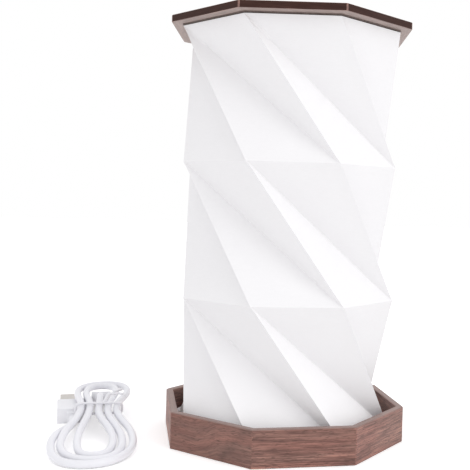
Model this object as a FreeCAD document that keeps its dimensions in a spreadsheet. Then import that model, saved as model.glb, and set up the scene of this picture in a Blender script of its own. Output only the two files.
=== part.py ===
import FreeCAD, Part
import math
import os
import re

import Sketcher
from FreeCAD import Placement, Rotation, Vector

# A table lamp that folds flat: an octagonal walnut tray, a walnut lid and a twisted-fold paper
# tower between them, with a tied charging cable beside it. Millimetres. The lamp stands on z = 0
# with its axis on Z, and its front faces -Y.

os.makedirs("parts", exist_ok=True)
doc = FreeCAD.newDocument("paper_table_lamp")

# ---------------------------------------------------------------- sizes

DRIVING = {
    # tray and lid
    "octagon_flats": 120.0,
    "tray_height": 18.3,
    "stave_thickness": 3.6,
    "corner_flat": 0.5,
    "edge_break": 0.4,
    "pad_thickness": 1.5,
    "pad_proud": 0.2,
    "pad_inset": 0.6,
    "floor_thickness": 3.0,
    "floor_clearance": 0.1,
    "lid_thickness": 3.6,
    "lid_edge_break": 0.2,
    "strip_width": 6.0,
    "plate_thickness": 0.6,
    "plate_margin": 5.4,
    "magnet_radius": 4.0,
    "magnet_thickness": 1.2,
    "magnet_clearance": 0.1,
    # folded paper tower
    "tier_height": 68.15,
    "top_inset": 0.5,
    "paper_thickness": 0.5,
    "angle_low": 4.1,
    "angle_middle": 4.2,
    "angle_top": 2.4,
    "paper_gap": 0.2,
    "ring_thickness": 0.8,
    "ring_width": 5.0,
    "ring_lip": 0.4,
    "ring_clearance": 3.0,
    # light module in the middle of the floor
    "cup_radius": 21.0,
    "cup_wall": 1.2,
    "cup_floor": 1.0,
    "cup_height": 9.3,
    "boss_offset": 16.0,
    "boss_radius": 2.5,
    "boss_height": 5.8,
    "screw_radius": 1.0,
    "screw_clearance": 0.1,
    "head_radius": 2.0,
    "head_top_radius": 1.4,
    "head_height": 1.2,
    "lower_screw": 6.0,
    "upper_screw": 2.5,
    "cell_width": 24.0,
    "cell_length": 30.0,
    "cell_thickness": 4.2,
    "board_clearance": 0.4,
    "board_thickness": 1.0,
    "chip_ring": 12.0,
    "chip_length": 3.5,
    "chip_width": 2.8,
    "chip_height": 0.8,
    "sensor_length": 3.0,
    "sensor_width": 1.6,
    "sensor_height": 1.1,
    "cap_thickness": 2.0,
    "cap_skin": 1.0,
    "cap_bevel": 0.8,
    "lip_wall": 0.9,
    "lip_depth": 0.8,
    "lip_clearance": 0.3,
    # charging board, socket and leads
    "groove_depth": 1.4,
    "bay_width": 12.0,
    "bay_length": 11.4,
    "groove_width": 3.4,
    "charger_width": 11.0,
    "charger_length": 10.4,
    "charger_clearance": 0.2,
    "socket_width": 7.5,
    "socket_height": 2.6,
    "socket_depth": 5.6,
    "socket_wall": 0.3,
    "tongue_width": 3.75,
    "tongue_length": 4.2,
    "tongue_thickness": 0.6,
    "socket_recess": 0.3,
    "port_clearance": 0.4,
    "lead_diameter": 0.9,
    "lead_spacing": 1.8,
    "lead_bend": 1.5,
    "lead_wall_gap": 2.3,
    # cable hank: where it lies, and its strands
    "hank_x": -97.0,
    "hank_y": 17.0,
    "cable_diameter": 3.8,
    "strand_step": 4.65,
    "waist_reach": 12.8,
    "lower_reach": 20.1,
    "lower_wide": 44.0,
    "lower_end": 68.25,
    "upper_reach": 16.5,
    "upper_wide": 40.0,
    "upper_end": 59.55,
    # large plug, under the hank's upper left strands
    "large_x": -12.8,
    "large_y": 5.0,
    "large_tilt": 5.0,
    "large_width": 15.6,
    "large_thickness": 8.0,
    "large_length": 22.0,
    "large_neck": 5.6,
    "large_neck_length": 4.0,
    "large_round": 1.6,
    "large_shell_width": 12.0,
    "large_shell_height": 4.5,
    "large_shell_length": 18.8,
    "large_tongue_height": 1.9,
    "large_tongue_setback": 1.0,
    "shell_wall": 0.3,
    "seat_gap": 0.3,
    # small plug, inside the hank's upper loop
    "small_y": 25.5,
    "small_width": 10.4,
    "small_thickness": 6.4,
    "small_length": 19.0,
    "small_neck_width": 6.4,
    "small_neck_height": 5.4,
    "small_neck_length": 4.5,
    "small_bevel": 2.2,
    "small_round": 1.2,
    "small_shell_width": 6.85,
    "small_shell_height": 1.85,
    "small_shell_length": 6.5,
    "small_shell_bevel": 0.6,
    # twist tie round the hank's waist
    "tie_diameter": 1.3,
    "tie_gap": 0.3,
    "tie_corner": 2.55,
    "knot_length": 6.0,
    "knot_diameter": 2.2,
    "tail_length": 9.0,
}

DERIVED = {
    "tray_inside": "octagon_flats / 2 - stave_thickness",
    "floor_top": "pad_thickness + floor_thickness",
    "ring_top": "floor_top + ring_thickness",
    "ring_outside": "tray_inside - ring_clearance",
    "fold_radius": "(ring_outside - ring_lip) / cos(22.5)",
    "paper_bottom": "ring_top + paper_gap",
    "paper_top": "paper_bottom + 3 * tier_height",
    "plate_bottom": "paper_top + paper_gap",
    "lid_bottom": "plate_bottom + plate_thickness",
    "lid_turn": "angle_low + angle_middle + angle_top",
    "plate_outside": "octagon_flats / 2 - plate_margin",
    "strip_inside": "octagon_flats / 2 - strip_width",
    "cup_inside": "cup_radius - cup_wall",
    "cup_base_top": "floor_top + cup_floor",
    "cup_rim": "floor_top + cup_height",
    "board_bottom": "cup_base_top + boss_height",
    "board_top": "board_bottom + board_thickness",
    "bore_radius": "screw_radius + screw_clearance",
    "sink_radius": "head_radius + screw_clearance",
    "groove_bottom": "floor_top - groove_depth",
    "charger_end": "tray_inside - charger_clearance",
    "charger_start": "charger_end - charger_length",
    "charger_top": "groove_bottom + board_thickness",
    "socket_mouth": "octagon_flats / 2 - socket_recess",
    "socket_middle": "charger_top + socket_height / 2",
    "lead_rise": "cup_inside - lead_wall_gap",
    "strand_lift": "large_thickness + seat_gap + cable_diameter / 2",
}

sizes = doc.addObject("Spreadsheet::Sheet", "sizes")
for row, (word, value) in enumerate(list(DRIVING.items()) + list(DERIVED.items()), start=1):
    sizes.set("A%d" % row, word.replace("_", " "))
    sizes.set("B%d" % row, str(value) if word in DRIVING else "=" + value)
    sizes.setAlias("B%d" % row, word)
doc.recompute()

SIDES = 8
SIDE_ANGLE = 360.0 / SIDES
SIDE_NAMES = ["front", "front_right", "right", "back_right", "back", "back_left", "left", "front_left"]
Z_AXIS = Vector(0, 0, 1)
CABLE_SIDES = 10
THIN_SIDES = 8
KNOT_WAY = Vector(0.35, 0.75, 0.55).normalize()
TAIL_WAYS = (Vector(0.8, 0.6, 0.1).normalize(), Vector(1, -0.1, 0.05).normalize())


def size(word):
    """A size's value, for the shapes that are worked out point by point."""
    return float(getattr(sizes, word))


def cells(text):
    """The formula with each size's name pointing at its cell."""
    return re.sub(r"\b[a-z]+_[a-z_]+\b", lambda match: "sizes." + match.group(0), text)


def bind(thing, **formulas):
    for name, formula in formulas.items():
        thing.setExpression(name, cells(formula))


def place(thing, x="0", y="0", z="0", turn=None):
    """Tie a piece's place, and its turn about Z in degrees, to the sizes."""
    if turn is not None:
        thing.Placement = Placement(Vector(), Rotation(Z_AXIS, 1))
        thing.setExpression("Placement.Rotation.Angle", cells(turn))
    for axis, formula in zip("xyz", (x, y, z)):
        thing.setExpression("Placement.Base." + axis, cells(formula))


# ---------------------------------------------------------------- sketch helpers


def add_body(name):
    body = doc.addObject("PartDesign::Body", name)
    body.Label = name
    return body


def add_sketch(body, name, role="XY_Plane", level="0"):
    """A sketch on one of its body's own planes, raised along that plane's normal."""
    plane = [f for f in body.Origin.OriginFeatures if f.Role == role][0]
    sketch = body.newObject("Sketcher::SketchObject", body.Name + "_" + name)
    sketch.AttachmentSupport = [(plane, "")]
    sketch.MapMode = "FlatFace"
    sketch.setExpression("AttachmentOffset.Base.z", cells(level))
    return sketch


def dimension(sketch, formula, *facts):
    """A driving constraint tied to the sizes."""
    index = sketch.addConstraint(Sketcher.Constraint(*facts))
    name = "size_%d" % index
    sketch.renameConstraint(index, name)
    sketch.setExpression("Constraints." + name, cells(formula))


def add_lines(sketch, points):
    """A closed outline of lines through the points. Returns the first line's number."""
    first = sketch.GeometryCount
    for a, b in zip(points, points[1:] + points[:1]):
        sketch.addGeometry(Part.LineSegment(a, b), False)
    for k in range(len(points)):
        following = first + (k + 1) % len(points)
        sketch.addConstraint(Sketcher.Constraint("Coincident", first + k, 2, following, 1))
    return first


def octagon(sketch, apothem):
    """A regular octagon about the origin, a flat side to -Y, tied to its sides' distance."""
    rough = 50.0
    turns = [math.radians(-112.5 + SIDE_ANGLE * k) for k in range(SIDES)]
    first = add_lines(sketch, [Vector(rough * math.cos(a), rough * math.sin(a), 0) for a in turns])
    ring = sketch.addGeometry(Part.Circle(Vector(), Z_AXIS, rough), True)
    sketch.addConstraint(Sketcher.Constraint("Coincident", ring, 3, -1, 1))
    for k in range(SIDES):
        sketch.addConstraint(Sketcher.Constraint("PointOnObject", first + k, 1, ring))
        if k:
            sketch.addConstraint(Sketcher.Constraint("Equal", first, first + k))
    sketch.addConstraint(Sketcher.Constraint("Horizontal", first))
    low = rough * math.cos(math.radians(SIDE_ANGLE / 2))
    dimension(sketch, apothem, "DistanceY", first, 1, -1, 1, low)


def mitred_side(sketch, inside, outside):
    """One side of an octagonal frame, mitred to its neighbours, with its outer corners eased."""
    half = math.radians(SIDE_ANGLE / 2)
    ray = Vector(math.sin(half), -math.cos(half), 0)
    outer, cut, inner = Vector(24, -60, 0), ray * 64.7, ray * 60
    mirror = [Vector(-p.x, p.y, 0) for p in (outer, cut, inner)]
    first = add_lines(sketch, [mirror[0], outer, cut, inner, mirror[2], mirror[1]])
    mitre = sketch.addGeometry(Part.LineSegment(Vector(), cut), True)
    sketch.addConstraint(Sketcher.Constraint("Coincident", mitre, 1, -1, 1))
    sketch.addConstraint(Sketcher.Constraint("Coincident", mitre, 2, first + 2, 1))
    sketch.addConstraint(Sketcher.Constraint("PointOnObject", first + 3, 1, mitre))
    sketch.addConstraint(Sketcher.Constraint("Angle", mitre, half - math.pi / 2))
    sketch.addConstraint(Sketcher.Constraint("Symmetric", first, 1, first, 2, -2))
    sketch.addConstraint(Sketcher.Constraint("Symmetric", first + 5, 1, first + 2, 1, -2))
    sketch.addConstraint(Sketcher.Constraint("Symmetric", first + 4, 1, first + 3, 1, -2))
    sketch.addConstraint(Sketcher.Constraint("Perpendicular", first + 1, mitre))
    dimension(sketch, "corner_flat", "Distance", first + 1, 0.5)
    dimension(sketch, outside, "DistanceY", first, 2, -1, 1, 60)
    dimension(sketch, inside, "DistanceY", first + 3, 1, -1, 1, 55)


def upright_box(sketch, width, low, high):
    """A rectangle centred on the sketch's vertical axis, from low to high above the origin."""
    corners = [Vector(-3, 20, 0), Vector(3, 20, 0), Vector(3, 26, 0), Vector(-3, 26, 0)]
    first = add_lines(sketch, corners)
    sketch.addConstraint(Sketcher.Constraint("Symmetric", first, 1, first, 2, -2))
    sketch.addConstraint(Sketcher.Constraint("Symmetric", first + 2, 2, first + 2, 1, -2))
    sketch.addConstraint(Sketcher.Constraint("Vertical", first + 1))
    dimension(sketch, width, "DistanceX", first, 1, first, 2, 6)
    dimension(sketch, low, "DistanceY", -1, 1, first, 1, 20)
    dimension(sketch, high, "DistanceY", -1, 1, first + 2, 1, 26)


def centred_box(sketch, width, height):
    """A rectangle centred on the origin."""
    corners = [Vector(-4, -2, 0), Vector(4, -2, 0), Vector(4, 2, 0), Vector(-4, 2, 0)]
    first = add_lines(sketch, corners)
    sketch.addConstraint(Sketcher.Constraint("Horizontal", first))
    sketch.addConstraint(Sketcher.Constraint("Vertical", first + 1))
    sketch.addConstraint(Sketcher.Constraint("Horizontal", first + 2))
    sketch.addConstraint(Sketcher.Constraint("Vertical", first + 3))
    sketch.addConstraint(Sketcher.Constraint("Symmetric", first, 1, first + 2, 1, -1, 1))
    dimension(sketch, width, "DistanceX", first, 1, first, 2, 8)
    dimension(sketch, height, "DistanceY", first + 1, 1, first + 1, 2, 4)


def circle(sketch, radius):
    index = sketch.addGeometry(Part.Circle(Vector(), Z_AXIS, 5), False)
    sketch.addConstraint(Sketcher.Constraint("Coincident", index, 3, -1, 1))
    dimension(sketch, radius, "Radius", index, 5)


def circle_pair(sketch, radius, offset):
    """Two equal circles on the horizontal axis, as far to each side."""
    left = sketch.addGeometry(Part.Circle(Vector(-16, 0, 0), Z_AXIS, 2), False)
    right = sketch.addGeometry(Part.Circle(Vector(16, 0, 0), Z_AXIS, 2), False)
    sketch.addConstraint(Sketcher.Constraint("PointOnObject", right, 3, -1))
    sketch.addConstraint(Sketcher.Constraint("Symmetric", left, 3, right, 3, -1, 1))
    sketch.addConstraint(Sketcher.Constraint("Equal", left, right))
    dimension(sketch, radius, "Radius", right, 2)
    dimension(sketch, offset, "DistanceX", -1, 1, right, 3, 16)


def pad(sketch, length, up=True):
    feature = sketch.getParentGeoFeatureGroup().newObject("PartDesign::Pad", sketch.Name + "_pad")
    feature.Profile = sketch
    feature.Reversed = not up
    bind(feature, Length=length)
    sketch.Visibility = False
    return feature


def pocket(sketch, length, up=False):
    """Cut from the sketch by that length, down unless up is set."""
    feature = sketch.getParentGeoFeatureGroup().newObject("PartDesign::Pocket", sketch.Name + "_cut")
    feature.Profile = sketch
    feature.Reversed = up
    bind(feature, Length=length)
    sketch.Visibility = False
    return feature


def dress(kind, base, edges, formula):
    """A fillet or chamfer on the named edges of the body's last feature."""
    body = base.getParentGeoFeatureGroup()
    feature = body.newObject("PartDesign::" + kind, base.Name + "_" + kind.lower())
    feature.Base = (base, edges)
    bind(feature, **{"Radius" if kind == "Fillet" else "Size": formula})
    return feature


def edges_where(feature, wanted):
    """Names of the feature's edges that pass the test."""
    doc.recompute()
    edges = feature.Shape.Edges
    return ["Edge%d" % (k + 1) for k, edge in enumerate(edges) if wanted(edge)]


def at_height(edge, height):
    return all(abs(v.Z - height) < 1e-4 for v in edge.Vertexes)


def runs_round(edge):
    """Whether a level edge runs round the frame and not along a mitre."""
    start, end = (Vector(v.X, v.Y, 0) for v in edge.Vertexes)
    middle, way = (start + end) * 0.5, end - start
    return middle.cross(way).Length > 0.5 * middle.Length * way.Length


def runs_along_y(edge):
    return len(edge.Vertexes) == 2 and edge.BoundBox.XLength < 1e-6 and edge.BoundBox.ZLength < 1e-6


def tube_reach(radius, sides):
    """How far from its centre the corners of a cord's section are, for the round section's area."""
    half = math.pi / sides
    return radius * math.sqrt(half / (math.sin(half) * math.cos(half)))


def tube(path, start, way, radius, sides):
    """A cord along the path, with a section of that many sides and as large as the round one."""
    reach = tube_reach(radius, sides)
    turn = Rotation(Z_AXIS, way)
    turns = [math.pi / sides * (2 * k + 1) for k in range(sides)]
    rim = [start + turn.multVec(Vector(reach * math.cos(a), reach * math.sin(a), 0)) for a in turns]
    return path.makePipeShell([Part.makePolygon(rim + rim[:1])], True, False)


# ---------------------------------------------------------------- tray


def make_staves():
    """Eight mitred staves. The back one has the charging port's hole."""
    for k, name in enumerate(SIDE_NAMES):
        body = add_body("tray_stave_" + name)
        outline = add_sketch(body, "outline", level="pad_proud")
        mitred_side(outline, "tray_inside", "octagon_flats / 2")
        last = pad(outline, "tray_height - pad_proud")
        if name == "back":
            hole = add_sketch(body, "port", "XZ_Plane", level="tray_inside - 1")
            low = "socket_middle - socket_height / 2 - port_clearance"
            high = "socket_middle + socket_height / 2 + port_clearance"
            upright_box(hole, "socket_width + 2 * port_clearance", low, high)
            last = pocket(hole, "stave_thickness + 2", up=True)
        rim = edges_where(last, lambda e: at_height(e, size("tray_height")) and runs_round(e))
        dress("Chamfer", last, rim, "edge_break")
        place(body, turn=str(SIDE_ANGLE * k))


def make_floor():
    body = add_body("tray_floor")
    outline = add_sketch(body, "outline", level="pad_thickness")
    octagon(outline, "tray_inside - floor_clearance")
    pad(outline, "floor_thickness")
    bay = add_sketch(body, "charger_bay", level="floor_top")
    upright_box(bay, "bay_width", "tray_inside - bay_length", "tray_inside + 1")
    pocket(bay, "groove_depth")
    groove = add_sketch(body, "lead_groove", level="floor_top")
    upright_box(groove, "groove_width", "lead_rise - lead_diameter", "tray_inside - bay_length + 1")
    pocket(groove, "groove_depth")
    bores = add_sketch(body, "screw_bores", level="floor_top")
    circle_pair(bores, "bore_radius", "boss_offset")
    pocket(bores, "floor_thickness + 1")
    sinks = add_sketch(body, "head_sinks", level="pad_thickness")
    circle_pair(sinks, "sink_radius", "boss_offset")
    pocket(sinks, "head_height + screw_clearance", up=True)


def make_base_pad():
    body = add_body("base_pad")
    outline = add_sketch(body, "outline")
    octagon(outline, "tray_inside - pad_inset")
    pad(outline, "pad_thickness")


def make_paper_ring():
    body = add_body("paper_ring")
    outline = add_sketch(body, "outline", level="floor_top")
    octagon(outline, "ring_outside")
    octagon(outline, "ring_outside - ring_width")
    pad(outline, "ring_thickness")


# ---------------------------------------------------------------- light module


def make_module_cup():
    body = add_body("module_cup")
    outline = add_sketch(body, "outline", level="floor_top")
    circle(outline, "cup_radius")
    pad(outline, "cup_height")
    inside = add_sketch(body, "inside", level="cup_rim")
    circle(inside, "cup_inside")
    pocket(inside, "cup_height - cup_floor")
    bosses = add_sketch(body, "bosses", level="cup_base_top")
    circle_pair(bosses, "boss_radius", "boss_offset")
    pad(bosses, "boss_height")
    bores = add_sketch(body, "bores", level="board_bottom")
    circle_pair(bores, "bore_radius", "boss_offset")
    pocket(bores, "boss_height + cup_floor + 1")
    slot = add_sketch(body, "lead_slot", level="cup_base_top")
    upright_box(slot, "groove_width", "lead_rise - lead_diameter", "lead_rise + lead_diameter")
    pocket(slot, "cup_floor + 1")


def make_battery_cell():
    cell = doc.addObject("Part::Box", "cell_block")
    bind(cell, Length="cell_width", Width="cell_length", Height="cell_thickness")
    place(cell, "-cell_width / 2", "-cell_length / 2", "cup_base_top")
    doc.recompute()
    rounded = doc.addObject("Part::Fillet", "battery_cell")
    rounded.Base = cell
    long_edges = [k + 1 for k, edge in enumerate(cell.Shape.Edges) if runs_along_y(edge)]
    radius = size("cell_thickness") / 4
    rounded.Edges = [(number, radius, radius) for number in long_edges]
    rounded.Label = "battery_cell"
    cell.Visibility = False


def make_light_board():
    body = add_body("light_board")
    outline = add_sketch(body, "outline", level="board_bottom")
    circle(outline, "cup_inside - board_clearance")
    circle_pair(outline, "bore_radius", "boss_offset")
    pad(outline, "board_thickness")


def make_light_chips():
    """Eight chips on a ring, one group."""
    chips = []
    for k in range(SIDES):
        chip = doc.addObject("Part::Box", "light_chip_%d" % (k + 1))
        bind(chip, Length="chip_length", Width="chip_width", Height="chip_height")
        angle = SIDE_ANGLE * (k + 0.5)
        across, along = "chip_length / 2", "(chip_ring - chip_width / 2)"
        x = "-{0} * cos({2}) - {1} * sin({2})".format(across, along, angle)
        y = "-{0} * sin({2}) + {1} * cos({2})".format(across, along, angle)
        place(chip, x, y, "board_top", turn=str(angle))
        chips.append(chip)
    group = doc.addObject("Part::Compound", "light_chips")
    group.Links = chips
    group.Label = "light_chips"


def make_lid_sensor():
    sensor = doc.addObject("Part::Box", "lid_sensor")
    bind(sensor, Length="sensor_length", Width="sensor_width", Height="sensor_height")
    place(sensor, "-sensor_length / 2", "-sensor_width / 2", "board_top")


def make_diffuser():
    """Opal cap that rests on the cup's rim, with a locating lip inside it."""
    body = add_body("diffuser_cap")
    outline = add_sketch(body, "outline", level="cup_rim")
    circle(outline, "cup_radius")
    cap = pad(outline, "cap_thickness")
    top = size("cup_rim") + size("cap_thickness")
    dress("Chamfer", cap, edges_where(cap, lambda e: at_height(e, top)), "cap_bevel")
    hollow = add_sketch(body, "hollow", level="cup_rim")
    circle(hollow, "cup_inside - lip_clearance - lip_wall")
    pocket(hollow, "cap_thickness - cap_skin", up=True)
    lip = add_sketch(body, "lip", level="cup_rim")
    circle(lip, "cup_inside - lip_clearance")
    circle(lip, "cup_inside - lip_clearance - lip_wall")
    pad(lip, "lip_depth", up=False)


def make_screws(name, seat, length, head_up):
    """A pair of pan-head screws, one in each boss. seat is the height of the head's underside."""
    screws = []
    for side in (-1, 1):
        shank = doc.addObject("Part::Cylinder", "%s_shank" % name)
        bind(shank, Radius="screw_radius", Height=length)
        place(shank, "%d * boss_offset" % side, z=seat + (" - " + length if head_up else ""))
        head = doc.addObject("Part::Cone", "%s_head" % name)
        wide, narrow = "head_radius", "head_top_radius"
        bind(head, Height="head_height")
        bind(head, Radius1=wide if head_up else narrow, Radius2=narrow if head_up else wide)
        place(head, "%d * boss_offset" % side, z=seat + ("" if head_up else " - head_height"))
        screw = doc.addObject("Part::Fuse", "%s_one" % name)
        screw.Base = shank
        screw.Tool = head
        screws.append(screw)
    group = doc.addObject("Part::Compound", name)
    group.Links = screws
    group.Label = name


# ---------------------------------------------------------------- charging board and socket


def make_charger_board():
    board = doc.addObject("Part::Box", "charger_board")
    bind(board, Length="charger_width", Width="charger_length", Height="board_thickness")
    place(board, "-charger_width / 2", "charger_start", "groove_bottom")


def make_charging_socket():
    """Metal shell open to the back, and the tongue inside it."""
    body = add_body("charging_socket")
    outline = add_sketch(body, "outline", "XZ_Plane", level="-socket_mouth")
    low, high = "socket_middle - socket_height / 2", "socket_middle + socket_height / 2"
    upright_box(outline, "socket_width", low, high)
    pad(outline, "socket_depth")
    mouth = add_sketch(body, "mouth", "XZ_Plane", level="-socket_mouth")
    upright_box(mouth, "socket_width - 2 * socket_wall", low + " + socket_wall", high + " - socket_wall")
    pocket(mouth, "socket_depth - socket_wall", up=True)
    tongue = doc.addObject("Part::Box", "socket_tongue")
    bind(tongue, Length="tongue_width", Width="tongue_length", Height="tongue_thickness")
    start = "socket_mouth - socket_depth + socket_wall"
    place(tongue, "-tongue_width / 2", start, "socket_middle - tongue_thickness / 2")


def make_charging_leads():
    """Two leads from the charging board, along the floor's groove and up to the light board."""
    radius, bend = size("lead_diameter") / 2, size("lead_bend")
    level = size("groove_bottom") + size("board_thickness") / 2
    start, rise, top = size("charger_start"), size("lead_rise"), size("board_bottom")
    leads = []
    for side in (-1, 1):
        x = side * size("lead_spacing") / 2
        corner = Vector(x, rise + bend * (1 - math.sqrt(0.5)), level + bend * (1 - math.sqrt(0.5)))
        along, up = Vector(x, rise + bend, level), Vector(x, rise, level + bend)
        run = Part.LineSegment(Vector(x, start, level), along)
        climb = Part.LineSegment(up, Vector(x, rise, top))
        path = Part.Wire([run.toShape(), Part.Arc(along, corner, up).toShape(), climb.toShape()])
        leads.append(tube(path, Vector(x, start, level), Vector(0, 1, 0), radius, THIN_SIDES))
    feature = doc.addObject("Part::Feature", "charging_leads")
    feature.Shape = Part.makeCompound(leads)


# ---------------------------------------------------------------- folded paper tower


def fold_corners(height, radius, turn):
    """The eight corners of one fold line round the tower, turned clockwise seen from above."""
    turns = [math.radians(-112.5 + SIDE_ANGLE * k - turn) for k in range(SIDES)]
    return [Vector(radius * math.cos(a), radius * math.sin(a), height) for a in turns]


def fold_levels(inset):
    """The four fold lines, from the floor up, drawn in by a share of their radius."""
    radius = size("fold_radius")
    top_radius = size("plate_outside") / math.cos(math.radians(SIDE_ANGLE / 2)) - size("top_inset")
    turns = [0.0, size("angle_low"), size("angle_low") + size("angle_middle"), size("lid_turn")]
    heights = [size("paper_bottom") + size("tier_height") * k for k in range(4)]
    radii = [radius, radius, radius, top_radius]
    keep = 1 - inset / radius
    return [fold_corners(z, r * keep, t) for z, r, t in zip(heights, radii, turns)]


def tier_faces(low, high):
    """One tier. From each upper corner a ridge fold runs to the next lower corner and a valley
    fold to the one after it, so each side is two flat triangles."""
    faces = []
    for k in range(SIDES):
        ridge, valley = low[(k + 1) % SIDES], low[(k + 2) % SIDES]
        neighbour = high[(k + 1) % SIDES]
        for corners in ((high[k], ridge, valley), (high[k], valley, neighbour)):
            faces.append(Part.Face(Part.makePolygon(list(corners) + [corners[0]])))
    return faces


def tower_solid(levels):
    """The closed space inside a folded sheet through these fold lines."""
    faces = [Part.Face(Part.makePolygon(level + level[:1])) for level in (levels[0], levels[-1])]
    for low, high in zip(levels, levels[1:]):
        faces += tier_faces(low, high)
    shell = Part.makeShell(faces)
    shell.sewShape()
    solid = Part.Solid(shell)
    if solid.Volume < 0:
        solid.reverse()
    return solid


def make_paper_shade():
    """One folded sheet, open at both ends, with the paper's thickness."""
    feature = doc.addObject("Part::Feature", "paper_shade")
    feature.Shape = tower_solid(fold_levels(0)).cut(tower_solid(fold_levels(size("paper_thickness"))))


# ---------------------------------------------------------------- lid


def make_lid():
    panel = add_body("lid_panel")
    outline = add_sketch(panel, "outline", level="lid_bottom")
    octagon(outline, "strip_inside")
    pad(outline, "lid_thickness")
    recess = add_sketch(panel, "magnet_recess", level="lid_bottom")
    circle(recess, "magnet_radius + magnet_clearance")
    pocket(recess, "magnet_thickness + magnet_clearance", up=True)
    place(panel, turn="-lid_turn")

    magnet = doc.addObject("Part::Cylinder", "lid_magnet")
    bind(magnet, Radius="magnet_radius", Height="magnet_thickness")
    place(magnet, z="lid_bottom")

    plate = add_body("paper_plate")
    plate_outline = add_sketch(plate, "outline", level="plate_bottom")
    octagon(plate_outline, "plate_outside")
    pad(plate_outline, "plate_thickness")
    place(plate, turn="-lid_turn")

    ends = [size("lid_bottom"), size("lid_bottom") + size("lid_thickness")]
    outer = size("octagon_flats") / 2 - 0.01
    for k, name in enumerate(SIDE_NAMES):
        body = add_body("lid_strip_" + name)
        side = add_sketch(body, "outline", level="lid_bottom")
        mitred_side(side, "strip_inside", "octagon_flats / 2")
        last = pad(side, "lid_thickness")
        rim = edges_where(
            last,
            lambda e: any(at_height(e, z) for z in ends) and runs_round(e) and e.BoundBox.YMin < -outer,
        )
        dress("Chamfer", last, rim, "lid_edge_break")
        place(body, turn="%s - lid_turn" % (SIDE_ANGLE * k))


# ---------------------------------------------------------------- cable hank


def arc_between(start, corner, end):
    """The arc from start to end whose end tangents meet at corner, or the line if it is straight."""
    middle, half, reach = (start + end) * 0.5, (end - start).Length / 2, (corner - start).Length
    bow = (corner - middle).Length
    if bow < 1e-4 * half:
        return Part.LineSegment(start, end)
    sagitta = half * math.tan(math.acos(min(1.0, half / reach)) / 2)
    return Part.Arc(start, middle + (corner - middle) * (sagitta / bow), end)


def biarc(start, end):
    """Two arcs that join two (point, direction) pairs and share a tangent where they meet."""
    (p, a), (q, b) = start, end
    gap, ways = q - p, a + b
    spread = 2 * (1 - a.dot(b))
    if spread < 1e-9:
        reach = gap.dot(gap) / (2 * gap.dot(ways))
    else:
        slide = gap.dot(ways)
        reach = (math.sqrt(slide * slide + spread * gap.dot(gap)) - slide) / spread
    first, second = p + a * reach, q - b * reach
    joint = (first + second) * 0.5
    return [arc_between(p, first, joint), arc_between(joint, second, q)]


def strand_height(along):
    """Height of a strand's centre and its slope: on the floor at the near end, over the plug
    from the waist on."""
    low, high = tube_reach(size("cable_diameter") / 2, CABLE_SIDES), size("strand_lift")
    near, far = -size("lower_end"), size("large_y")
    share = min(1.0, max(0.0, (along - near) / (far - near)))
    rise = (high - low) / (far - near) * 6 * share * (1 - share)
    return low + (high - low) * share * share * (3 - 2 * share), rise


def strand_station(step):
    """Point and direction of the cable after that many eighths of a turn, spiralling in."""
    drawn = size("strand_step") * step / 8
    waist, lower, upper = (size(w) - drawn for w in ("waist_reach", "lower_reach", "upper_reach"))
    across, along, sideways, onward = [
        (-waist, 0, 0, -1),
        (-lower, -size("lower_wide"), 0, -1),
        (0, drawn - size("lower_end"), 1, 0),
        (lower, -size("lower_wide"), 0, 1),
        (waist, 0, 0, 1),
        (upper, size("upper_wide"), 0, 1),
        (0, size("upper_end") - drawn, -1, 0),
        (-upper, size("upper_wide"), 0, -1),
    ][step % 8]
    height, slope = strand_height(along)
    return Vector(across, along, height), Vector(sideways, onward, slope * onward).normalize()


STEPS_TO_WAIST = 20


def small_plug_tilt():
    """The angle at which the small plug droops from the waist until its front edge meets the floor."""
    height, reach = size("strand_lift"), size("small_length") + size("small_neck_length")
    drop = size("small_thickness") / 2
    span = math.hypot(reach, drop)
    return math.degrees(math.asin(height / span) - math.atan2(drop, reach))


def plug_seats():
    """Where each plug's back end is, and the way it points, in the hank's own frame."""
    tilt = math.radians(size("large_tilt"))
    large_way = Vector(-math.sin(tilt), math.cos(tilt), 0)
    large = Vector(size("large_x"), size("large_y"), size("large_thickness") / 2)
    droop = math.radians(small_plug_tilt())
    small_way = Vector(0, math.cos(droop), -math.sin(droop))
    inner = strand_station(STEPS_TO_WAIST)[0]
    small = Vector(inner.x, size("small_y"), size("strand_lift"))
    return (large, large_way), (small, small_way)


def hank_path():
    """The cable's centre line: from the large plug, two and a half turns, up to the small plug."""
    (large, large_way), (small, small_way) = plug_seats()
    straight = size("cable_diameter")
    leave = (large - large_way * straight, large_way * -1)
    arrive = (small - small_way * straight, small_way)
    stations = [leave] + [strand_station(step) for step in range(1, STEPS_TO_WAIST + 1)] + [arrive]
    pieces = [Part.LineSegment(large, leave[0])]
    for start, end in zip(stations, stations[1:]):
        pieces += biarc(start, end)
    pieces.append(Part.LineSegment(arrive[0], small))
    return pieces


def print_hank_facts(pieces, solid):
    """The cable's length, tightest bend, volume and least gap to itself, measured on points."""
    wire = Part.Wire([piece.toShape() for piece in pieces])
    diameter = size("cable_diameter")
    widest = 2 * tube_reach(diameter / 2, CABLE_SIDES)
    bends = [edge.Curve.Radius for edge in wire.Edges if isinstance(edge.Curve, Part.Circle)]
    count = int(wire.Length)
    points = wire.discretize(Number=count)
    apart = int(4 * diameter)
    least = min(
        (points[i] - points[j]).Length for i in range(count) for j in range(i + apart, count)
    )
    section = math.pi * diameter * diameter / 4
    print("cable length %.1f, tightest bend %.1f" % (wire.Length, min(bends)))
    print("cable's least gap to itself %.2f" % (least - widest))
    print("cable volume over section times length %.4f" % (solid.Volume / (section * wire.Length)))


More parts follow.
